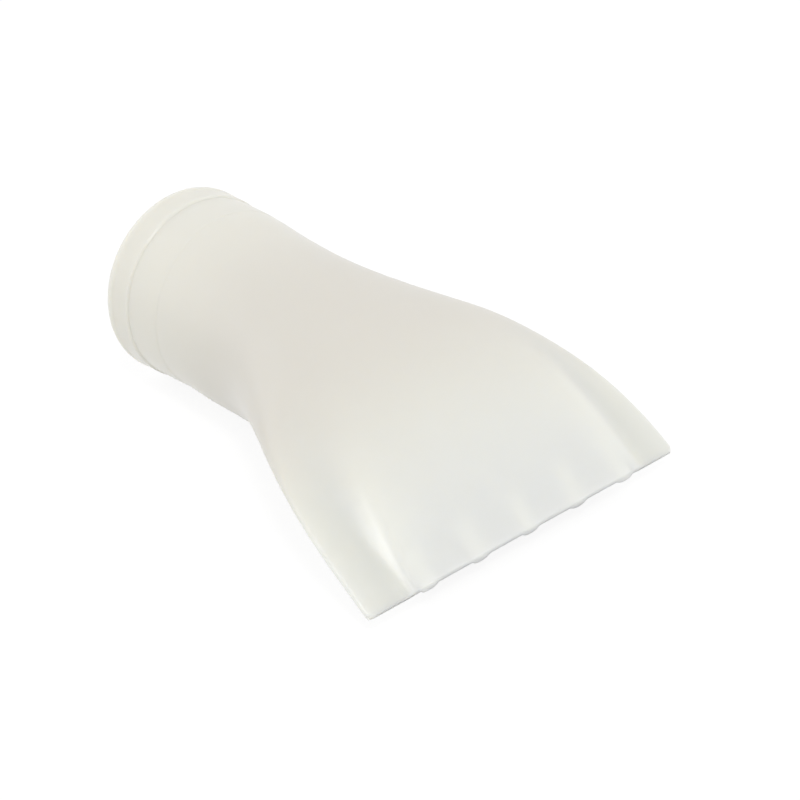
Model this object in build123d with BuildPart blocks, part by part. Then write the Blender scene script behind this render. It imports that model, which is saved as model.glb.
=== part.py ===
from build123d import *
from math import atan, cos, pi, radians, sin, tan
import os

# Silicone vacuum nozzle, moulded in one piece
# The collar's axis lies along X, from the rear rim at the origin towards the mouth, and Z is up

# Collar that stretches over the cleaner's tube
tube_diameter = 35.0
socket_depth = 31.0
rim_diameter = 45.0
rim_length = 8.25
rim_round = 2.2
groove_width = 1.4
groove_depth = 0.2
cuff_end = 18.6
cuff_diameter = 43.7
cuff_end_diameter = 43.4
cuff_bulge = 0.1
neck_diameter = 43.2

# Flared body, whose laws run from these stations to the mouth
overall_length = 113.8
mouth_width = 90.0
flare_start = 34.4
flare_lead = 2.42
flare_settle = 2.6
top_taper_lean = 0.25
underside_taper_start = 35.8
underside_taper_lead = 2.48
underside_taper_settle = 3.6
neck_length = 12.4
neck_drop = 0.7
bend_start = 67.4
bend_power = 1.77
mouth_drop = 18.2

# Flattened mouth, a raised panel between two thin side edges
flat_start = 71.0
flat_end = 111.8
shoulder_place = 0.74
shoulder_sharpness = 10.0
edge_thickness = 1.0
upper_lip_rise = 0.4
lower_lip_depth = 8.4
corner_round = 1.5
mouth_slope = 32.0
lip_bevel = 0.3

# Walls, thick at the neck and thin at the lips
neck_wall = 5.0
lip_wall = 1.2
side_edge_width = 12.0
duct_edge_thickness = 0.5
duct_shoulder_place = 0.9

# Spacer ribs under the upper lip
rib_count = 5
rib_pitch = 14.5
rib_width = 4.6
rib_height = 0.7
rib_root = 0.4
rib_length = 8.0

# How finely the loft is sampled
station_count = 12
points_per_side = 13
side_angle = 10.0
overlap = 1.0


def rise(x, start, lead, settle):
    """A smooth rise from 0 at the start to 1 at the mouth."""
    share = min(max((x - start) / (overall_length - start), 0), 1)
    return (1 - (1 - share) ** settle) ** lead


def eased(x, start, end):
    """A gentle change from 0 at the start to 1 at the end."""
    share = min(max((x - start) / (end - start), 0), 1)
    return share * share * (3 - 2 * share)


def flatness(x):
    """How far the section has turned from round (0) to a flat panel with thin edges (1)."""
    return eased(x, flat_start, flat_end)


def half_width(x):
    """Half the body's width."""
    neck = neck_diameter / 2
    return neck + (mouth_width / 2 - neck) * rise(x, flare_start, flare_lead, flare_settle)


def top_height(x):
    """Height of the upper panel over the side edges, which falls ever faster from the cuff to the mouth."""
    neck = neck_diameter / 2
    share = max((x - cuff_end) / (overall_length - cuff_end), 0)
    return neck + (upper_lip_rise - neck) * (top_taper_lean * share + (1 - top_taper_lean) * share**2)


def underside_depth(x):
    """Depth of the lower panel under the side edges."""
    neck = neck_diameter / 2
    taper = rise(x, underside_taper_start, underside_taper_lead, underside_taper_settle)
    return neck + (lower_lip_depth - neck) * taper


def edge_level(x):
    """Height of the side edges, which drop a little along the neck and bend down to the mouth."""
    share = max((x - bend_start) / (overall_length - bend_start), 0)
    return -neck_drop * eased(x, cuff_end, cuff_end + neck_length) - (mouth_drop - neck_drop) * share**bend_power


def wall(x):
    """Wall thickness, thinning from the end of the socket to the lips."""
    share = (x - socket_depth) / (overall_length - socket_depth)
    return neck_wall + (lip_wall - neck_wall) * share


def panel_point(angle, width, height, edge, flat, shoulder):
    """Point of a section's upper or lower half, between a round arch and a flat-topped hill."""
    across = cos(angle)
    hill = 1 / (1 + abs(across / shoulder) ** shoulder_sharpness)
    level = (1 - flat) * height * sin(angle) + flat * (edge + height * hill)
    return (width * across, level)


def section(x, width, top, underside, edge, shoulder):
    """Closed section at a station: an upper panel, a lower panel and two rounded side edges."""
    first = radians(side_angle)
    step = (pi - 2 * first) / (points_per_side - 1)
    angles = [first + step * i for i in range(points_per_side)]
    flat = flatness(x)
    upper = [panel_point(a, width, top, edge, flat, shoulder) for a in angles]
    lower = [panel_point(a, width, underside, edge, flat, shoulder) for a in angles]
    lower = [(across, -level) for across, level in lower]
    middle = (upper[0][1] + lower[0][1]) / 2
    station = Plane(origin=(x, 0, edge_level(x)), x_dir=(0, 1, 0), z_dir=(1, 0, 0))
    with BuildSketch(station) as outline:
        with BuildLine():
            Spline(*upper)
            ThreePointArc(upper[-1], (-width, middle), lower[-1])
            Spline(*reversed(lower))
            ThreePointArc(lower[0], (width, middle), upper[0])
        make_face()
    return outline.sketch


def stations(start, end):
    """Evenly spaced stations of a loft."""
    return [start + (end - start) * i / (station_count - 1) for i in range(station_count)]


def outer_section(x):
    """Outside of the body."""
    return section(x, half_width(x), top_height(x), underside_depth(x), edge_thickness / 2, shoulder_place)


def duct_section(x):
    """Air duct, a wall's thickness inside the body and a wide margin from its side edges."""
    edge = duct_edge_thickness / 2
    flat = flatness(x)
    inset = wall(x) - flat * (edge_thickness / 2 - edge)
    width = half_width(x) - wall(x) - flat * (side_edge_width - lip_wall)
    return section(x, width, top_height(x) - inset, underside_depth(x) - inset, edge, duct_shoulder_place)


def lip_underside(x):
    """Height of the upper lip's underside at the middle of the mouth."""
    return edge_level(x) + top_height(x) + flatness(x) * edge_thickness / 2 - wall(x)


lip_level = lip_underside(overall_length)
rib_slope = (lip_underside(overall_length - rib_length) - lip_level) / rib_length
rib_angle = atan(rib_slope)

with BuildPart() as nozzle:
    # Collar: rounded bead at the rim, groove and slightly barrelled cuff
    with BuildSketch(Plane.XZ):
        with BuildLine():
            rim = rim_diameter / 2
            cuff = cuff_diameter / 2
            cuff_foot = cuff_end_diameter / 2
            groove_start = rim_length - groove_width / 2
            groove_end = rim_length + groove_width / 2
            Line((0, 0), (0, rim - rim_round))
            TangentArc((0, rim - rim_round), (rim_round, rim), tangent=(0, 1))
            Line((rim_round, rim), (groove_start, rim))
            ThreePointArc((groove_start, rim), (rim_length, cuff - groove_depth), (groove_end, cuff))
            ThreePointArc(
                (groove_end, cuff),
                ((groove_end + cuff_end) / 2, (cuff + cuff_foot) / 2 + cuff_bulge),
                (cuff_end, cuff_foot),
            )
            Line((cuff_end, cuff_foot), (cuff_end, 0))
            Line((cuff_end, 0), (0, 0))
        make_face()
    revolve(axis=Axis.X)

    # Body: round at the neck, flared and flattened towards the mouth
    loft(sections=[outer_section(x) for x in stations(cuff_end - overlap, overall_length)])

    # Socket for the tube, and the duct from its stop to the mouth
    with BuildSketch(Plane.YZ):
        Circle(tube_diameter / 2)
    extrude(amount=socket_depth, mode=Mode.SUBTRACT)
    loft(
        sections=[duct_section(x) for x in stations(socket_depth - overlap, overall_length + overlap)],
        mode=Mode.SUBTRACT,
    )

    # Mouth: the lower lip is cut back under the upper one, and the corners are rounded
    with BuildSketch(Plane.XZ):
        cut_back = overall_length - cuff_end
        cut_slope = tan(radians(mouth_slope))
        cut_level = lip_level + lip_bevel
        with BuildLine():
            Polyline(
                (overall_length + overlap, cut_level + overlap * cut_slope),
                (overall_length - cut_back, cut_level - cut_back * cut_slope),
                (overall_length + overlap, cut_level - cut_back * cut_slope),
                close=True,
            )
        make_face()
    extrude(amount=mouth_width, both=True, mode=Mode.SUBTRACT)
    with BuildSketch(Plane.XY.offset(lip_level - overlap)):
        with Locations((overall_length, -mouth_width / 2), (overall_length, mouth_width / 2)):
            Rectangle(2 * corner_round, 2 * corner_round)
        with Locations(
            (overall_length - corner_round, corner_round - mouth_width / 2),
            (overall_length - corner_round, mouth_width / 2 - corner_round),
        ):
            Circle(corner_round, mode=Mode.SUBTRACT)
    extrude(amount=mouth_drop, mode=Mode.SUBTRACT)

    # Spacer ribs along the underside of the upper lip
    rib_end = overall_length - rib_root * sin(rib_angle)
    rib_plane = Plane(
        origin=(rib_end, 0, lip_underside(rib_end)),
        x_dir=(0, 1, 0),
        z_dir=(-cos(rib_angle), 0, sin(rib_angle)),
    )
    with BuildSketch(rib_plane):
        with Locations((0, (rib_height - rib_root) / 2)):
            with GridLocations(rib_pitch, 0, rib_count, 1):
                Ellipse(rib_width / 2, (rib_height + rib_root) / 2)
    extrude(amount=rib_length)

nozzle.part.label = "nozzle"
os.makedirs("parts", exist_ok=True)
export_step(nozzle.part, "parts/nozzle.step")
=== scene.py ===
"""Looks of the silicone vacuum nozzle, one moulded piece lying on a white studio floor."""

import logging
from dataclasses import dataclass, field
from enum import Enum

import bpy
import numpy as np
from mathutils import Matrix
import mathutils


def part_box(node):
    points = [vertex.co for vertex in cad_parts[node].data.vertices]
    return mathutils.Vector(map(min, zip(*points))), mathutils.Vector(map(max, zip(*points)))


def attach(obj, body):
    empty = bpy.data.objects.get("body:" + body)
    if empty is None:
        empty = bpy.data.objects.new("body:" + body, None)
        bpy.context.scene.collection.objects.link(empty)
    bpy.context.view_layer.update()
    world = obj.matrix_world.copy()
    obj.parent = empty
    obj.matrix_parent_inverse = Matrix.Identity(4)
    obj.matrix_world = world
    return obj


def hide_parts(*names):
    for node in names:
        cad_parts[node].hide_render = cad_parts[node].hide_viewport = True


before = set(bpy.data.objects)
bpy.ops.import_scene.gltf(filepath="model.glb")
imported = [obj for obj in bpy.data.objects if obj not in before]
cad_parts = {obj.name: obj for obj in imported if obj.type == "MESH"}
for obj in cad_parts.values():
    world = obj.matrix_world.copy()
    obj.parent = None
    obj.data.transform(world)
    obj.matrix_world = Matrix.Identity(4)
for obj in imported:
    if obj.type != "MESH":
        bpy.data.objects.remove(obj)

log = logging.getLogger("nozzle")

MILLIMETRE = 0.001
IMAGE_PIXELS = 800
SENSOR_WIDTH = 36.0
NEAREST_SIGHT = 0.01
CLOUD_DETAIL = 3.0
CLOUD_ROUGHNESS = 0.45

Colour = tuple[float, float, float]
Vector = tuple[float, float, float]


class Panel(Enum):
    """The two broad walls of the body, and the sign of their height over the side edges."""

    UPPER = 1.0
    LOWER = -1.0


@dataclass(frozen=True)
class Rise:
    """Smooth change from 0 at a starting station to 1 at the mouth, in millimetres along X."""

    start: float
    lead: float
    settle: float

    def at(self, x: np.ndarray, end: float) -> np.ndarray:
        """Share of the change that is done at each station.

        The station's share t of the way is turned into (1 - (1 - t) ** settle) ** lead, which
        leaves 0 slowly by the lead and comes to 1 slowly by the settle.

        Args:
            x: Stations along the axis.
            end: Station of the mouth.

        Returns:
            Shares from 0 to 1, in the shape of x.
        """
        share = np.clip((x - self.start) / (end - self.start), 0.0, 1.0)
        return (1.0 - (1.0 - share) ** self.settle) ** self.lead


def eased(share: np.ndarray) -> np.ndarray:
    """Share from 0 to 1 that starts and stops gently: 3 t squared less 2 t cubed."""
    t = np.clip(share, 0.0, 1.0)
    return t * t * (3.0 - 2.0 * t)


def bend_through(start: np.ndarray, corner: np.ndarray, end: np.ndarray, steps: int) -> np.ndarray:
    """Rows of points that round a corner.

    Each point is (1-t)^2 of the start, 2t(1-t) of the corner and t^2 of the end, a parabola that
    leaves the start and reaches the end along the corner's two sides.

    Args:
        start: Points before the corner, one for each place around.
        corner: The corner's own points.
        end: Points after the corner.
        steps: Number of rows.

    Returns:
        Array of rows, places around and coordinates.
    """
    t = np.linspace(0.0, 1.0, steps)[:, None, None]
    return (1.0 - t) ** 2 * start + 2.0 * t * (1.0 - t) * corner + t**2 * end


@dataclass(frozen=True)
class Collar:
    """Round collar that stretches over the cleaner's tube. Sizes are in millimetres."""

    tube_radius: float = 17.5
    socket_depth: float = 31.0
    socket_edge: float = 0.6
    rim_radius: float = 22.5
    rim_length: float = 8.25
    rim_round: float = 2.2
    rim_dip: float = 0.2
    rim_dip_end: float = 3.4
    rim_taper: float = 0.02
    step_width: float = 0.8
    line_depth: float = 0.02
    line_width: float = 0.2
    cuff_end: float = 18.6
    cuff_radius: float = 21.85
    cuff_end_radius: float = 21.7
    cuff_bulge: float = 0.1
    cuff_edge: float = 0.4
    neck_radius: float = 21.6
    corner_rows: int = 9
    socket_rows: int = 8
    dip_rows: int = 10
    rim_rows: int = 8
    step_rows: int = 24
    cuff_rows: int = 12
    cuff_edge_rows: int = 7

    def outer_radius(self, x: np.ndarray) -> np.ndarray:
        """Radius of the rim, the step down from it and the cuff behind the neck.

        The rim dips a little behind its rounded rear edge and tapers in a line to the step. The
        cuff is a line between its two radii with a parabola of the bulge on it, eased at its end
        to the neck. The step goes gently from rim to cuff, with a fine line like a bell curve at
        its foot.

        Args:
            x: Stations from the rear of the rim to the end of the cuff.

        Returns:
            Radii, in the shape of x.
        """
        top = self.rim_length - self.step_width / 2
        foot = self.rim_length + self.step_width / 2
        along = np.clip((x - foot) / (self.cuff_end - foot), 0.0, 1.0)
        cuff = self.cuff_radius + (self.cuff_end_radius - self.cuff_radius) * along
        cuff = cuff + 4.0 * self.cuff_bulge * along * (1.0 - along)
        ended = eased((x - self.cuff_end + self.cuff_edge) / self.cuff_edge)
        cuff = cuff + (self.neck_radius - self.cuff_end_radius) * ended
        dipped = eased((x - self.rim_round) / (self.rim_dip_end - self.rim_round))
        tapered = np.clip((x - self.rim_dip_end) / (top - self.rim_dip_end), 0.0, 1.0)
        rim = self.rim_radius - self.rim_dip * dipped - self.rim_taper * tapered
        step = eased((x - top) / self.step_width)
        line = self.line_depth * np.exp(-(((x - foot) / self.line_width) ** 2))
        return rim + (cuff - rim) * step - line

    def circle(self, x: np.ndarray, radius: np.ndarray, ring: "Ring") -> np.ndarray:
        """Rows of round sections: Y is the radius times the cosine of each place, Z times its sine.

        Args:
            x: Stations, one for each row.
            radius: Radii, one for each row.
            ring: Places around the section.

        Returns:
            Array of rows, places around and coordinates.
        """
        angle = ring.round_angles()[None, :]
        y = radius[:, None] * np.cos(angle)
        z = radius[:, None] * np.sin(angle)
        return np.stack([np.broadcast_to(x[:, None], y.shape), y, z], axis=-1)

    def rows(self, ring: "Ring") -> np.ndarray:
        """Socket wall from its stop to the rear, the rear face, the rim, its step and the cuff.

        The profile of stations and radii is turned round the axis. Its two rear corners are
        quarter turns of an ellipse.

        Args:
            ring: Places around the section.

        Returns:
            Array of rows, places around and coordinates.
        """
        quarter = np.linspace(0.0, np.pi / 2, self.corner_rows)
        socket = np.linspace(self.socket_depth, self.socket_edge, self.socket_rows)
        step_start = self.rim_length - self.step_width
        step_end = self.rim_length + self.step_width
        cuff_edge_start = self.cuff_end - self.cuff_edge
        outside = np.concatenate([
            np.linspace(self.rim_round, self.rim_dip_end, self.dip_rows)[1:],
            np.linspace(self.rim_dip_end, step_start, self.rim_rows)[1:],
            np.linspace(step_start, step_end, self.step_rows)[1:],
            np.linspace(step_end, cuff_edge_start, self.cuff_rows)[1:],
            np.linspace(cuff_edge_start, self.cuff_end, self.cuff_edge_rows)[1:-1],
        ])
        x = np.concatenate([
            socket,
            self.socket_edge * (1.0 - np.sin(quarter[1:])),
            self.rim_round * (1.0 - np.cos(quarter)),
            outside,
        ])
        rim_base = self.rim_radius - self.rim_round
        radius = np.concatenate([
            np.full_like(socket, self.tube_radius),
            self.tube_radius + self.socket_edge * (1.0 - np.cos(quarter[1:])),
            rim_base + self.rim_round * np.sin(quarter),
            self.outer_radius(outside),
        ])
        return self.circle(x, radius, ring)


@dataclass(frozen=True)
class Ring:
    """Places around a section: the upper panel, the near side, the lower panel and the far side."""

    panel_places: int = 180
    side_places: int = 20
    side_angle: float = np.radians(10.0)
    evenness: float = 0.6
    lined_up: float = 0.955

    def panel_angles(self) -> np.ndarray:
        """Angles across a panel, between even steps of the angle and even steps of its cosine.

        Returns:
            Angles, one for each place across a panel.
        """
        turn = np.linspace(self.side_angle, np.pi - self.side_angle, self.panel_places)
        reach = np.cos(self.side_angle)
        level = np.arccos(np.linspace(reach, -reach, self.panel_places))
        return (1.0 - self.evenness) * turn + self.evenness * level

    def crowded_angles(self, widening: float) -> np.ndarray:
        """The panel's angles drawn to the sides, so that a narrow duct lines up with wide lips.

        The cosine grows by the widening up to the share that lines up, and in a line to its end
        past it.

        Args:
            widening: How many times wider the lips are than the duct.

        Returns:
            Angles, one for each place across a panel.
        """
        across = np.cos(self.panel_angles())
        end = np.cos(self.side_angle)
        knots = [0.0, self.lined_up / widening, end]
        drawn = np.interp(np.abs(across), knots, [0.0, self.lined_up, end])
        return np.arccos(np.sign(across) * drawn)

    def side_shares(self) -> np.ndarray:
        """Shares across a side, 1 at the upper panel to -1 at the lower one, without the ends."""
        return np.linspace(1.0, -1.0, self.side_places + 2)[1:-1]

    def round_angles(self) -> np.ndarray:
        """The same places on a circle, from the far side over the top to the near side and back.

        Returns:
            Angles, one for each place around.
        """
        panel = self.panel_angles()
        side = self.side_angle * self.side_shares()
        return np.concatenate([panel, np.pi - side, 2.0 * np.pi - panel[::-1], side[::-1]])

    def spans(self) -> tuple[slice, slice, slice, slice]:
        """Slices of the upper panel, near side, lower panel and far side in a row of places.

        Returns:
            The four slices, in that order.
        """
        pair = [self.panel_places, self.side_places]
        edges = np.cumsum([0, *pair, *pair])
        return tuple(slice(int(a), int(b)) for a, b in zip(edges[:-1], edges[1:]))


@dataclass(frozen=True)
class Body:
    """Flared body that flattens into the mouth. Sizes are in millimetres."""

    start: float = 18.6
    neck_radius: float = 21.6
    neck_length: float = 12.4
    neck_drop: float = 0.7
    overall_length: float = 113.8
    mouth_half_width: float = 45.0
    flare: Rise = Rise(34.4, 2.42, 2.6)
    top_taper_lean: float = 0.25
    underside_taper: Rise = Rise(35.8, 2.48, 3.6)
    bend_start: float = 67.4
    bend_power: float = 1.77
    mouth_drop: float = 18.2
    flat_start: float = 71.0
    flat_end: float = 111.8
    shoulder_place: float = 0.75
    shoulder_slope: float = 0.64
    shoulder_sharpness: float = 10.0
    shoulder_limit: float = 90.0
    crease_start: float = 0.7
    edge_thickness: float = 1.0
    upper_lip_rise: float = 0.4
    lower_lip_depth: float = 8.4
    corner_round: float = 1.8
    mouth_slope: float = np.radians(32.0)
    lip_bevel: float = 0.3
    neck_wall: float = 5.0
    lip_wall: float = 1.2
    side_edge_width: float = 12.0
    duct_edge_thickness: float = 0.5
    duct_shoulder_place: float = 0.9
    duct_start: float = 31.0
    rib_count: int = 5
    rib_pitch: float = 14.5
    rib_width: float = 4.6
    rib_height: float = 0.7
    rib_length: float = 8.0
    lip_round: float = 0.3
    inner_round: float = 0.08
    solid_start: float = 32.0
    solid_full: float = 33.2
    lip_gap: float = 0.02
    # Stations of a darker colour along the neck: the silicone's depth together with painted shade.
    depth_shade_start: float = 10.0
    depth_shade_peak: float = 54.0
    depth_shade_hold: float = 68.0
    collar_depth_shade: float = 0.5
    # Shares of the half width where the painted shade on the side edges starts and is full.
    flange_start: float = 0.70
    flange_full: float = 0.84
    outside_rows: int = 96
    duct_rows: int = 48
    turn_rows: int = 6
    turn_limit: float = 0.4
    halvings: int = 40

    def flatness(self, x: np.ndarray) -> np.ndarray:
        """How far the section has turned from round (0) to a flat panel with thin edges (1)."""
        return eased((x - self.flat_start) / (self.flat_end - self.flat_start))

    def half_width(self, x: np.ndarray) -> np.ndarray:
        """Half the body's width: the neck's radius, then by the flare to the mouth's half width."""
        change = self.mouth_half_width - self.neck_radius
        return self.neck_radius + change * self.flare.at(x, self.overall_length)

    def panel_height(self, x: np.ndarray, panel: Panel) -> np.ndarray:
        """Height or depth of a panel over or under the side edges, tapering from the neck's radius.

        The upper panel falls by a mix of the way from the cuff to the mouth and its square. The
        lower one follows its rise.

        Args:
            x: Stations along the axis.
            panel: Which of the two panels.

        Returns:
            Heights, in the shape of x.
        """
        if panel is Panel.UPPER:
            share = np.clip((x - self.start) / (self.overall_length - self.start), 0.0, None)
            end = self.upper_lip_rise
            taper = self.top_taper_lean * share + (1.0 - self.top_taper_lean) * share**2
        else:
            end = self.lower_lip_depth
            taper = self.underside_taper.at(x, self.overall_length)
        return self.neck_radius + (end - self.neck_radius) * taper

    def edge_level(self, x: np.ndarray) -> np.ndarray:
        """Height of the side edges.

        It drops gently along the neck, and then by a power of the way past the bend.

        Args:
            x: Stations along the axis.

        Returns:
            Heights, in the shape of x.
        """
        neck = self.neck_drop * eased((x - self.start) / self.neck_length)
        share = np.clip((x - self.bend_start) / (self.overall_length - self.bend_start), 0.0, None)
        return -neck - (self.mouth_drop - self.neck_drop) * share**self.bend_power

    def wall(self, x: np.ndarray) -> np.ndarray:
        """Wall thickness, in a line from the end of the socket to the lips."""
        share = (x - self.duct_start) / (self.overall_length - self.duct_start)
        return self.neck_wall + (self.lip_wall - self.neck_wall) * share

    def depth_and_painted_shade(self, rows: np.ndarray) -> np.ndarray:
        """Share of the darker colour at each point: partly the silicone's depth and partly painted
        shade, darkest along the neck and lightest at the thin lips.

        It grows gently from the collar's share to 1 past the socket's stop, stays there along the
        neck, and falls gently to 0 at the lips.

        Args:
            rows: Points of the skin.

        Returns:
            Shares from 0 to 1, one for each point.
        """
        x = rows[..., 0]
        grown = eased((x - self.depth_shade_start) / (self.depth_shade_peak - self.depth_shade_start))
        fallen = eased((x - self.depth_shade_hold) / (self.overall_length - self.depth_shade_hold))
        return (self.collar_depth_shade + (1.0 - self.collar_depth_shade) * grown) * (1.0 - fallen)

    def flange_shade(self, rows: np.ndarray) -> np.ndarray:
        """How far each point lies on the solid side edges, whose colour carries painted shade.

        They start outside the shoulders, at a share of the half width, and grow with the flatness.

        Args:
            rows: Points of the skin.

        Returns:
            Shares from 0 to 1, one for each point.
        """
        x = rows[..., 0]
        across = np.abs(rows[..., 1]) / self.half_width(x)
        reach = self.flange_full - self.flange_start
        return self.flatness(x) * eased((across - self.flange_start) / reach)

    def section(self, x: np.ndarray, ring: Ring, inset: float) -> np.ndarray:
        """Points of the body's outside, or of its air duct.

        Across a panel, Y is the half width times the cosine of the angle, which in the flattened
        duct is drawn to the sides. The level goes from an arch, the height times the sine, to a
        hill, the height over one plus a power of Y over the shoulder's place, standing on the thin
        edge. On the upper outside, that power grows as the height falls, so that the shoulder
        keeps its slope to the lip. Each side is the arc of a circle through the panels' ends and
        the full half width. Everything is set at the side edges' height.

        Args:
            x: Stations, one for each point.
            ring: Places around the section.
            inset: 0 for the outside and 1 for the duct, a wall's thickness inside it.

        Returns:
            Points, in the shape of x with the coordinates added.
        """
        flat = self.flatness(x)
        wall = self.wall(x)
        edge = inset * self.duct_edge_thickness / 2 + (1.0 - inset) * self.edge_thickness / 2
        shoulder = inset * self.duct_shoulder_place + (1.0 - inset) * self.shoulder_place
        crease = 4.0 * self.shoulder_slope * self.shoulder_place * self.half_width(x)
        crease = crease / (self.panel_height(x, Panel.UPPER) * np.maximum(flat, self.crease_start))
        crease = np.clip(crease, self.shoulder_sharpness, self.shoulder_limit)
        upper_power = inset * self.shoulder_sharpness + (1.0 - inset) * crease
        lower_power = np.full_like(x, self.shoulder_sharpness)
        margin = inset * (wall + flat * (self.side_edge_width - self.lip_wall))
        width = self.half_width(x) - margin
        depth = inset * (wall - flat * (self.edge_thickness / 2 - edge))
        upper = self.panel_height(x, Panel.UPPER) - depth
        lower = self.panel_height(x, Panel.LOWER) - depth

        def level(angle: np.ndarray, panel: Panel, span: slice) -> np.ndarray:
            """Level of a panel's points over or under the side edges.

            Args:
                angle: Angles across the panel.
                panel: Which of the two panels.
                span: The points' places around the section.

            Returns:
                Levels, one for each point.
            """
            height = (upper if panel is Panel.UPPER else lower)[..., span]
            power = (upper_power if panel is Panel.UPPER else lower_power)[..., span]
            part = flat[..., span]
            hill = 1.0 / (1.0 + np.abs(np.cos(angle) / shoulder) ** power)
            arch = (1.0 - part) * height * np.sin(angle)
            return panel.value * (arch + part * (edge + height * hill))

        angles = ring.panel_angles()
        widening = self.mouth_half_width / (self.mouth_half_width - self.side_edge_width)
        crowding = ring.crowded_angles(widening) - angles
        top, near, bottom, far = ring.spans()
        over = angles + inset * flat[..., top] * crowding
        under = angles[::-1] + inset * flat[..., bottom] * crowding[::-1]
        y = np.empty_like(x)
        z = np.empty_like(x)
        y[..., top] = width[..., top] * np.cos(over)
        z[..., top] = level(over, Panel.UPPER, top)
        y[..., bottom] = width[..., bottom] * np.cos(under)
        z[..., bottom] = level(under, Panel.LOWER, bottom)
        shares = ring.side_shares()
        for span, turn, way in ((near, shares, -1.0), (far, shares[::-1], 1.0)):
            first = np.array(ring.side_angle)
            high = level(first, Panel.UPPER, span)
            low = level(first, Panel.LOWER, span)
            half = (high - low) / 2
            bulge = width[..., span] * (1.0 - np.cos(first))
            radius = (half**2 + bulge**2) / (2.0 * bulge)
            swing = np.arctan2(half, radius - bulge) * turn
            y[..., span] = way * (width[..., span] - radius + radius * np.cos(swing))
            z[..., span] = (high + low) / 2 + radius * np.sin(swing)
        return np.stack([x, y, z + self.edge_level(x)], axis=-1)

    def tip_level(self) -> float:
        """Height where the mouth's sloping plane meets the upper lip's end.

        Returns:
            The height of the lip's lower edge plus the bevel.
        """
        end = np.array(self.overall_length)
        upper = self.panel_height(end, Panel.UPPER) + self.edge_thickness / 2
        return float(self.edge_level(end) + upper - self.wall(end)) + self.lip_bevel

    def mouth_end(self, ring: Ring, inset: float) -> np.ndarray:
        """Station where each place around the section ends at the mouth.

        The upper lip ends at the full length, less the rounding of its two corners. Below it the
        lips end on a plane that slopes back and down from the upper lip's lower edge, found by
        halving the stretch in which the surface crosses that plane.

        Args:
            ring: Places around the section.
            inset: 0 for the outside and 1 for the duct.

        Returns:
            Stations, one for each place, in a single row.
        """
        slope = np.tan(self.mouth_slope)
        places = len(ring.round_angles())

        def over_plane(x: np.ndarray) -> np.ndarray:
            """Height of the surface over the sloping plane."""
            points = self.section(x, ring, inset)
            return points[..., 2] - self.tip_level() + (self.overall_length - x) * slope

        low = np.full((1, places), self.flat_start)
        high = np.full((1, places), self.overall_length)
        inside = over_plane(high) >= 0.0
        for _ in range(self.halvings):
            middle = (low + high) / 2
            above = over_plane(middle) >= 0.0
            low = np.where(above, middle, low)
            high = np.where(above, high, middle)
        end = np.where(inside, self.overall_length, low)
        across = np.abs(self.section(end, ring, inset)[..., 1])
        past = np.clip(across - (self.mouth_half_width - self.corner_round), 0.0, self.corner_round)
        corner = self.corner_round - np.sqrt(self.corner_round**2 - past**2)
        return np.minimum(end, self.overall_length - corner)

    def rib_drop(self, points: np.ndarray, ring: Ring) -> np.ndarray:
        """How far the spacer ribs hang below the upper lip's underside.

        Each rib is half an ellipse across its width. It rises out of the wall over the third of
        its length that lies deepest in the duct.

        Args:
            points: Points of the duct.
            ring: Places around the section.

        Returns:
            Depths, one for each point.
        """
        across = points[..., 1] / self.rib_pitch
        reach = (self.rib_count - 1) / 2
        nearest = np.clip(np.round(across), -reach, reach)
        share = (across - nearest) * self.rib_pitch / (self.rib_width / 2)
        start = self.overall_length - self.rib_length
        grown = eased((points[..., 0] - start) / (self.rib_length / 3))
        drop = self.rib_height * np.sqrt(np.clip(1.0 - share**2, 0.0, None)) * grown
        on_top = np.zeros(points.shape[1])
        on_top[ring.spans()[0]] = 1.0
        return drop * on_top

    def duct_points(self, x: np.ndarray, ring: Ring) -> np.ndarray:
        """Points of the duct, with the ribs under the upper lip.

        Args:
            x: Stations, one for each point.
            ring: Places around the section.

        Returns:
            Points, in the shape of x with the coordinates added.
        """
        points = self.section(x, ring, 1.0)
        points[..., 2] -= self.rib_drop(points, ring)
        return points

    def lip_middle(self, outer_edge: np.ndarray, ring: Ring) -> np.ndarray:
        """Middle of the lips' end face at each place.

        Across the panels it is the edge below the upper outside where the sloping plane starts,
        and the upper and lower skins keep apart there by a small share. Round the sides it stays
        at the panels' ends.

        Args:
            outer_edge: Outer points of the lips' ends.
            ring: Places around the section.

        Returns:
            Points, in the shape of the outer ones.
        """
        top, near, bottom, far = ring.spans()
        panel = outer_edge[top].copy()
        back = self.overall_length - panel[:, 0]
        panel[:, 2] = self.tip_level() - back * np.tan(self.mouth_slope)
        middle = np.empty_like(outer_edge)
        middle[top] = panel
        middle[near] = panel[-1]
        middle[bottom] = panel[::-1]
        middle[far] = panel[0]
        return middle + self.lip_gap * (outer_edge - middle)

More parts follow.
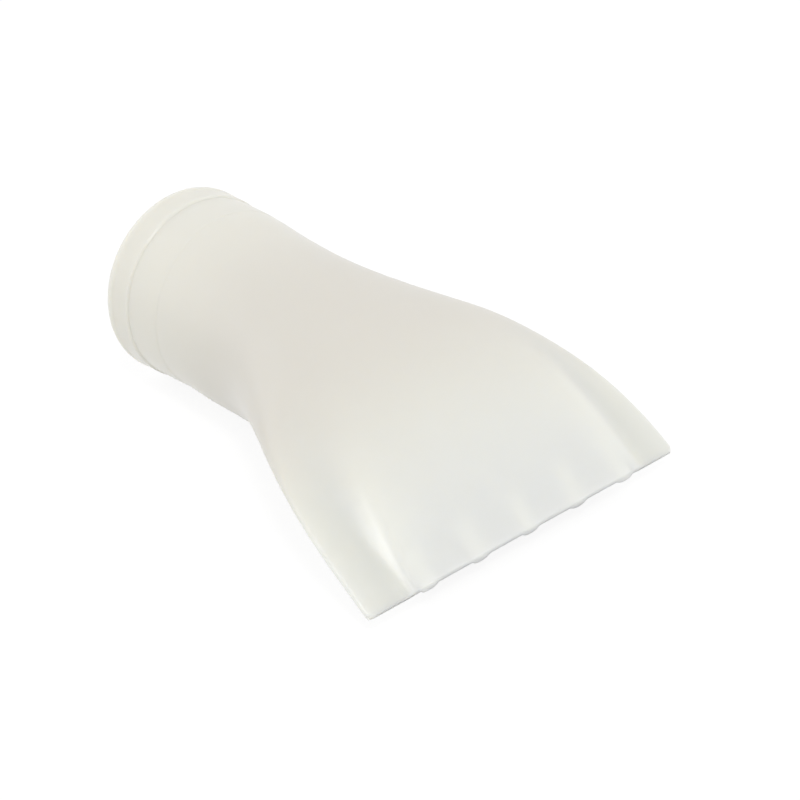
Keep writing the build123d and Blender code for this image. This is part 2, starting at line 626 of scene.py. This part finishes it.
    def rows(self, ring: Ring) -> np.ndarray:
        """Outside from the cuff to the mouth, the lips' ends, and the duct back to the stop.

        Past the duct's sides the end face goes to the middle of the solid edges, where the skin
        folds back to the duct.

        Args:
            ring: Places around the section.

        Returns:
            Array of rows, places around and coordinates.
        """
        outer_end = self.mouth_end(ring, 0.0)
        inner_end = self.mouth_end(ring, 1.0)
        along = np.linspace(0.0, 1.0, self.outside_rows)[:, None]
        length = outer_end - self.lip_round - self.start
        outside = self.section(self.start + length * along, ring, 0.0)
        back = np.linspace(1.0, 0.0, self.duct_rows)[:, None]
        reach = inner_end - self.inner_round - self.duct_start
        duct = self.duct_points(self.duct_start + reach * back, ring)
        outer_edge = self.section(outer_end, ring, 0.0)[0]
        inner_edge = self.duct_points(inner_end, ring)[0]
        past = np.abs(outer_edge[:, 1:2]) - self.solid_start
        solid = eased(past / (self.solid_full - self.solid_start))
        inner_edge = inner_edge + solid * (self.lip_middle(outer_edge, ring) - inner_edge)
        across = inner_edge - outer_edge
        wide = np.linalg.norm(across, axis=-1, keepdims=True)
        outer_share = np.minimum(self.lip_round / wide, self.turn_limit)
        inner_share = np.minimum(self.inner_round / wide, self.turn_limit) * (1.0 - solid)
        outer_stop = outer_edge + across * outer_share
        inner_stop = inner_edge - across * inner_share
        outer_turn = bend_through(outside[-1], outer_edge, outer_stop, self.turn_rows)[1:]
        inner_turn = bend_through(inner_stop, inner_edge, duct[0], self.turn_rows)[:-1]
        return np.concatenate([outside, outer_turn, inner_turn, duct])


def closed_grid(name: str, rows: np.ndarray, layers: dict[str, np.ndarray]) -> bpy.types.Object:
    """Object whose faces join each row to the next and the last row to the first.

    Args:
        name: Name of the piece.
        rows: Array of rows, places around and coordinates, in millimetres.
        layers: Named values for each point, kept on the mesh for its material.

    Returns:
        The new object, at the origin, with smooth faces that point outwards.
    """
    count, places = rows.shape[:2]
    index = np.arange(count * places).reshape(count, places)
    right = np.roll(index, -1, axis=1)
    corners = [index, right, np.roll(right, -1, axis=0), np.roll(index, -1, axis=0)]
    faces = np.stack(corners, axis=-1).reshape(-1, 4)
    points = rows.reshape(-1, 3) * MILLIMETRE
    a, b, c, d = (points[faces[:, k]] for k in range(4))
    volume = np.einsum("ij,ij->i", a, np.cross(b, c) + np.cross(c, d)).sum()
    faces = faces if volume > 0 else faces[:, ::-1]
    mesh = bpy.data.meshes.new(name)
    mesh.vertices.add(len(points))
    mesh.vertices.foreach_set("co", points.astype(np.float32).ravel())
    mesh.loops.add(faces.size)
    mesh.loops.foreach_set("vertex_index", faces.astype(np.int32).ravel())
    mesh.polygons.add(len(faces))
    mesh.polygons.foreach_set("loop_start", np.arange(0, faces.size, 4, dtype=np.int32))
    mesh.polygons.foreach_set("use_smooth", np.ones(len(faces), dtype=bool))
    mesh.update(calc_edges=True)
    for layer_name, values in layers.items():
        layer = mesh.attributes.new(layer_name, "FLOAT", "POINT")
        layer.data.foreach_set("value", values.astype(np.float32).ravel())
    piece = bpy.data.objects.new(name, mesh)
    bpy.context.scene.collection.objects.link(piece)
    return piece


@dataclass
class NodeSheet:
    """Small helper that adds and links the nodes of one tree."""

    tree: bpy.types.NodeTree

    def add(self, kind: str, **values: object) -> bpy.types.Node:
        """New node of a kind, with its properties set by name.

        Args:
            kind: Blender's name of the kind.
            values: Properties by name.

        Returns:
            The new node.
        """
        node = self.tree.nodes.new(kind)
        for name, value in values.items():
            setattr(node, name, value)
        return node

    def link(self, source: bpy.types.NodeSocket, target: bpy.types.NodeSocket) -> None:
        """Joins one socket to another."""
        self.tree.links.new(source, target)

    def background_rays(self) -> bpy.types.NodeSocket:
        """Value that is 1 for rays that show the background: seen, in gloss or through glass.

        Returns:
            Socket of the largest of the three kinds of ray.
        """
        rays = self.add("ShaderNodeLightPath")
        seen = rays.outputs["Is Camera Ray"]
        for kind in ("Is Glossy Ray", "Is Transmission Ray"):
            either = self.add("ShaderNodeMath", operation="MAXIMUM")
            self.link(seen, either.inputs[0])
            self.link(rays.outputs[kind], either.inputs[1])
            seen = either.outputs[0]
        return seen


def cloud_group() -> bpy.types.NodeTree:
    """Shader group that gives soft clouds in cast silicone.

    Returns:
        Group with inputs Position and Scale, and an output Cloud from 0 to 1.
    """
    group = bpy.data.node_groups.new("silicone clouds", "ShaderNodeTree")
    group.interface.new_socket("Position", in_out="INPUT", socket_type="NodeSocketVector")
    group.interface.new_socket("Scale", in_out="INPUT", socket_type="NodeSocketFloat")
    group.interface.new_socket("Cloud", in_out="OUTPUT", socket_type="NodeSocketFloat")
    sheet = NodeSheet(group)
    entry = sheet.add("NodeGroupInput")
    leave = sheet.add("NodeGroupOutput")
    noise = sheet.add("ShaderNodeTexNoise")
    noise.inputs["Detail"].default_value = CLOUD_DETAIL
    noise.inputs["Roughness"].default_value = CLOUD_ROUGHNESS
    sheet.link(entry.outputs["Position"], noise.inputs["Vector"])
    sheet.link(entry.outputs["Scale"], noise.inputs["Scale"])
    sheet.link(noise.outputs["Fac"], leave.inputs["Cloud"])
    return group


@dataclass(frozen=True)
class SiliconeFinish:
    """Milky, translucent cast silicone with a satin skin."""

    thin_colour: Colour = (0.795, 0.797, 0.734)
    # The thick colour is the silicone's depth together with painted shade along the neck.
    thick_shaded_colour: Colour = (0.672, 0.650, 0.597)
    # The flange colour is painted shade that holds down the side edges' tone.
    flange_shade_colour: Colour = (0.662, 0.668, 0.632)
    cloud_scale: float = 55.0
    cloud_strength: float = 0.10
    smooth_roughness: float = 0.285
    rough_roughness: float = 0.335
    grain_scale: float = 2600.0
    grain_depth: float = 0.00001
    grain_strength: float = 0.12
    scatter_weight: float = 1.0
    scatter_radius: Vector = (1.0, 0.95, 0.85)
    scatter_scale: float = 0.004
    refraction: float = 1.41

    def material(self) -> bpy.types.Material:
        """Material that darkens along the neck from the silicone's depth and painted shade, has
        painted shade on the side edges, and drifts in soft clouds.

        Returns:
            The new material.
        """
        material = bpy.data.materials.new("milky silicone")
        material.use_nodes = True
        sheet = NodeSheet(material.node_tree)
        shader = material.node_tree.nodes["Principled BSDF"]
        place = sheet.add("ShaderNodeTexCoord")
        clouds = sheet.add("ShaderNodeGroup", node_tree=cloud_group())
        clouds.inputs["Scale"].default_value = self.cloud_scale
        sheet.link(place.outputs["Object"], clouds.inputs["Position"])
        # Layer of the silicone's depth with painted shade, darkest along the neck and lightest at
        # the lips.
        depth_shade = sheet.add("ShaderNodeAttribute", attribute_name="depth_and_painted_shade")
        flange_shade = sheet.add("ShaderNodeAttribute", attribute_name="flange_shade")
        drift = sheet.add("ShaderNodeMath", operation="MULTIPLY_ADD")
        drift.inputs[1].default_value = self.cloud_strength
        sheet.link(clouds.outputs["Cloud"], drift.inputs[0])
        sheet.link(depth_shade.outputs["Fac"], drift.inputs[2])
        # The darker share, silicone depth with painted shade, drifted by the clouds.
        depth = sheet.add("ShaderNodeMath", operation="SUBTRACT", use_clamp=True)
        depth.inputs[1].default_value = self.cloud_strength / 2
        sheet.link(drift.outputs[0], depth.inputs[0])
        tint = sheet.add("ShaderNodeMix", data_type="RGBA")
        tint.inputs["A"].default_value = (*self.thin_colour, 1.0)
        tint.inputs["B"].default_value = (*self.thick_shaded_colour, 1.0)
        sheet.link(depth.outputs[0], tint.inputs["Factor"])
        # Painted shade on the solid side edges.
        shaded_edges = sheet.add("ShaderNodeMix", data_type="RGBA")
        shaded_edges.inputs["B"].default_value = (*self.flange_shade_colour, 1.0)
        sheet.link(flange_shade.outputs["Fac"], shaded_edges.inputs["Factor"])
        sheet.link(tint.outputs["Result"], shaded_edges.inputs["A"])
        sheet.link(shaded_edges.outputs["Result"], shader.inputs["Base Color"])
        satin = sheet.add("ShaderNodeMapRange")
        satin.inputs["To Min"].default_value = self.smooth_roughness
        satin.inputs["To Max"].default_value = self.rough_roughness
        sheet.link(clouds.outputs["Cloud"], satin.inputs["Value"])
        sheet.link(satin.outputs["Result"], shader.inputs["Roughness"])
        grain = sheet.add("ShaderNodeTexNoise")
        grain.inputs["Scale"].default_value = self.grain_scale
        sheet.link(place.outputs["Object"], grain.inputs["Vector"])
        bump = sheet.add("ShaderNodeBump")
        bump.inputs["Strength"].default_value = self.grain_strength
        bump.inputs["Distance"].default_value = self.grain_depth
        sheet.link(grain.outputs["Fac"], bump.inputs["Height"])
        sheet.link(bump.outputs["Normal"], shader.inputs["Normal"])
        shader.inputs["Subsurface Weight"].default_value = self.scatter_weight
        shader.inputs["Subsurface Radius"].default_value = self.scatter_radius
        shader.inputs["Subsurface Scale"].default_value = self.scatter_scale
        shader.inputs["IOR"].default_value = self.refraction
        return material


@dataclass
class Nozzle:
    """The whole moulding: its collar and body in one closed skin."""

    collar: Collar = field(default_factory=Collar)
    body: Body = field(default_factory=Body)
    ring: Ring = field(default_factory=Ring)
    finish: SiliconeFinish = field(default_factory=SiliconeFinish)
    piece: bpy.types.Object | None = None

    def build(self) -> bpy.types.Object:
        """Closed skin from the socket's stop over the outside and back through the duct.

        Returns:
            The piece, which stands for the solid.
        """
        rows = np.concatenate([self.collar.rows(self.ring), self.body.rows(self.ring)])
        # Layers for the colour: the silicone's depth with painted shade, and painted shade on the
        # side edges.
        layers = {"depth_and_painted_shade": self.body.depth_and_painted_shade(rows), "flange_shade": self.body.flange_shade(rows)}
        self.piece = closed_grid("nozzle_skin", rows, layers)
        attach(self.piece, "root")
        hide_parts("nozzle")
        return self.piece

    def dress(self) -> None:
        """Gives the skin its finish."""
        self.piece.data.materials.append(self.finish.material())


@dataclass(frozen=True)
class FloorFinish:
    """White floor that stays white to the camera and keeps a soft shadow."""

    colour: Colour = (0.88, 0.88, 0.88)
    shadow_colour: Colour = (0.14, 0.14, 0.14)
    glow_colour: Colour = (0.89, 0.89, 0.89)

    def material(self) -> bpy.types.Material:
        """Material that is matt to the light, and white with a faint shadow where it is seen.

        Returns:
            The new material.
        """
        material = bpy.data.materials.new("white floor")
        material.use_nodes = True
        tree = material.node_tree
        tree.nodes.clear()
        sheet = NodeSheet(tree)
        matt = sheet.add("ShaderNodeBsdfDiffuse")
        matt.inputs["Color"].default_value = (*self.colour, 1.0)
        faint = sheet.add("ShaderNodeBsdfDiffuse")
        faint.inputs["Color"].default_value = (*self.shadow_colour, 1.0)
        glow = sheet.add("ShaderNodeEmission")
        glow.inputs["Color"].default_value = (*self.glow_colour, 1.0)
        white = sheet.add("ShaderNodeAddShader")
        mix = sheet.add("ShaderNodeMixShader")
        leave = sheet.add("ShaderNodeOutputMaterial")
        sheet.link(faint.outputs[0], white.inputs[0])
        sheet.link(glow.outputs[0], white.inputs[1])
        sheet.link(sheet.background_rays(), mix.inputs[0])
        sheet.link(matt.outputs[0], mix.inputs[1])
        sheet.link(white.outputs[0], mix.inputs[2])
        sheet.link(mix.outputs[0], leave.inputs["Surface"])
        return material


@dataclass(frozen=True)
class Lamp:
    """Power in watts, size and distance in metres, and direction of a soft lamp from the piece."""

    power: float
    size: float
    distance: float
    direction: Vector


@dataclass(frozen=True)
class Studio:
    """Floor, light and camera. Lengths are in metres and angles in degrees."""

    floor_finish: FloorFinish = FloorFinish()
    floor_half: float = 4.0
    fill_strength: float = 0.84
    key: Lamp = Lamp(power=3.0, size=0.16, distance=1.1, direction=(0.46, -0.36, 0.81))
    back: Lamp = Lamp(power=1.4, size=1.2, distance=1.2, direction=(-0.85, -0.45, 0.30))
    side: Lamp = Lamp(power=1.2, size=1.2, distance=1.2, direction=(0.70, 0.60, 0.40))
    camera_target: Vector = (0.062, 0.0, 0.0)
    camera_azimuth: float = -43.028
    camera_elevation: float = 29.377
    camera_roll: float = -0.708
    camera_distance: float = 0.42218
    camera_aside: float = -0.008939
    camera_above: float = 0.007431
    focal_pixels: float = 1954.3

    def floor(self, level: float) -> bpy.types.Object:
        """Flat floor under the resting piece.

        Args:
            level: Height of the floor.

        Returns:
            The new floor.
        """
        mesh = bpy.data.meshes.new("floor")
        corners = np.array([(-1, -1), (1, -1), (1, 1), (-1, 1)]) * self.floor_half
        points = np.column_stack([corners, np.full(4, level)])
        mesh.from_pydata(points.tolist(), [], [(0, 1, 2, 3)])
        mesh.materials.append(self.floor_finish.material())
        floor = bpy.data.objects.new("floor", mesh)
        bpy.context.scene.collection.objects.link(floor)
        return floor

    def world(self) -> None:
        """White surroundings, plain white where they are seen and at the fill's strength if not."""
        world = bpy.data.worlds.new("studio")
        world.use_nodes = True
        tree = world.node_tree
        tree.nodes.clear()
        sheet = NodeSheet(tree)
        level = sheet.add("ShaderNodeMapRange")
        level.inputs["To Min"].default_value = self.fill_strength
        level.inputs["To Max"].default_value = 1.0
        glow = sheet.add("ShaderNodeBackground")
        leave = sheet.add("ShaderNodeOutputWorld")
        sheet.link(sheet.background_rays(), level.inputs["Value"])
        sheet.link(level.outputs["Result"], glow.inputs["Strength"])
        sheet.link(glow.outputs[0], leave.inputs["Surface"])
        glow.inputs["Color"].default_value = (1.0, 1.0, 1.0, 1.0)
        bpy.context.scene.world = world

    def lamp(self, name: str, lamp: Lamp) -> bpy.types.Object:
        """Soft square lamp that faces the piece.

        Args:
            name: Name of the lamp.
            lamp: Its power, size, distance and direction.

        Returns:
            The new lamp.
        """
        light = bpy.data.lights.new(name, "AREA")
        light.energy = lamp.power
        light.size = lamp.size
        holder = bpy.data.objects.new(name, light)
        toward = np.array(lamp.direction) / np.linalg.norm(lamp.direction)
        place = np.array(self.camera_target) + toward * lamp.distance
        side = np.cross((0.0, 0.0, 1.0), toward)
        side = side / np.linalg.norm(side)
        holder.matrix_world = frame_matrix(side, np.cross(toward, side), toward, place)
        bpy.context.scene.collection.objects.link(holder)
        return holder

    def camera(self) -> bpy.types.Object:
        """Camera at the photograph's angle, distance and field of view.

        Returns:
            The new camera, which the scene looks through.
        """
        azimuth, elevation, roll = np.radians(
            [self.camera_azimuth, self.camera_elevation, self.camera_roll]
        )
        back = np.array([
            np.cos(elevation) * np.cos(azimuth),
            np.cos(elevation) * np.sin(azimuth),
            np.sin(elevation),
        ])
        level = np.cross(-back, (0.0, 0.0, 1.0))
        level = level / np.linalg.norm(level)
        upright = np.cross(level, -back)
        right = np.cos(roll) * level + np.sin(roll) * upright
        up = np.cos(roll) * upright - np.sin(roll) * level
        place = np.array(self.camera_target) + back * self.camera_distance
        place = place - right * self.camera_aside - up * self.camera_above
        lens = bpy.data.cameras.new("camera")
        lens.sensor_width = SENSOR_WIDTH
        lens.lens = self.focal_pixels / IMAGE_PIXELS * SENSOR_WIDTH
        lens.clip_start = NEAREST_SIGHT
        camera = bpy.data.objects.new("camera", lens)
        camera.matrix_world = frame_matrix(right, up, back, place)
        bpy.context.scene.collection.objects.link(camera)
        bpy.context.scene.camera = camera
        return camera

    def build(self, level: float) -> None:
        """Sets up the whole studio round the resting piece.

        Args:
            level: Height at which the piece rests.
        """
        bpy.context.scene.view_settings.view_transform = "Standard"
        self.floor(level)
        self.world()
        self.lamp("key", self.key)
        self.lamp("back", self.back)
        self.lamp("side", self.side)
        self.camera()


def frame_matrix(x: np.ndarray, y: np.ndarray, z: np.ndarray, place: np.ndarray) -> Matrix:
    """Matrix whose columns are three axes and a place.

    Args:
        x: First axis.
        y: Second axis.
        z: Third axis.
        place: Where the axes meet.

    Returns:
        Matrix of four rows and four columns.
    """
    matrix = np.eye(4)
    matrix[:3] = np.column_stack([x, y, z, place])
    return Matrix(matrix.tolist())


def main() -> None:
    """Builds the nozzle and its studio in order, and reports each piece."""
    logging.basicConfig(level=logging.INFO)
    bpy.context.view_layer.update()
    nozzle = Nozzle()
    piece = nozzle.build()
    nozzle.dress()
    log.info("%s: %d points", piece.name, len(piece.data.vertices))
    Studio().build(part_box("nozzle")[0].z)
    log.info("studio: floor, lamps and camera")


if __name__ == "__main__":
    main()
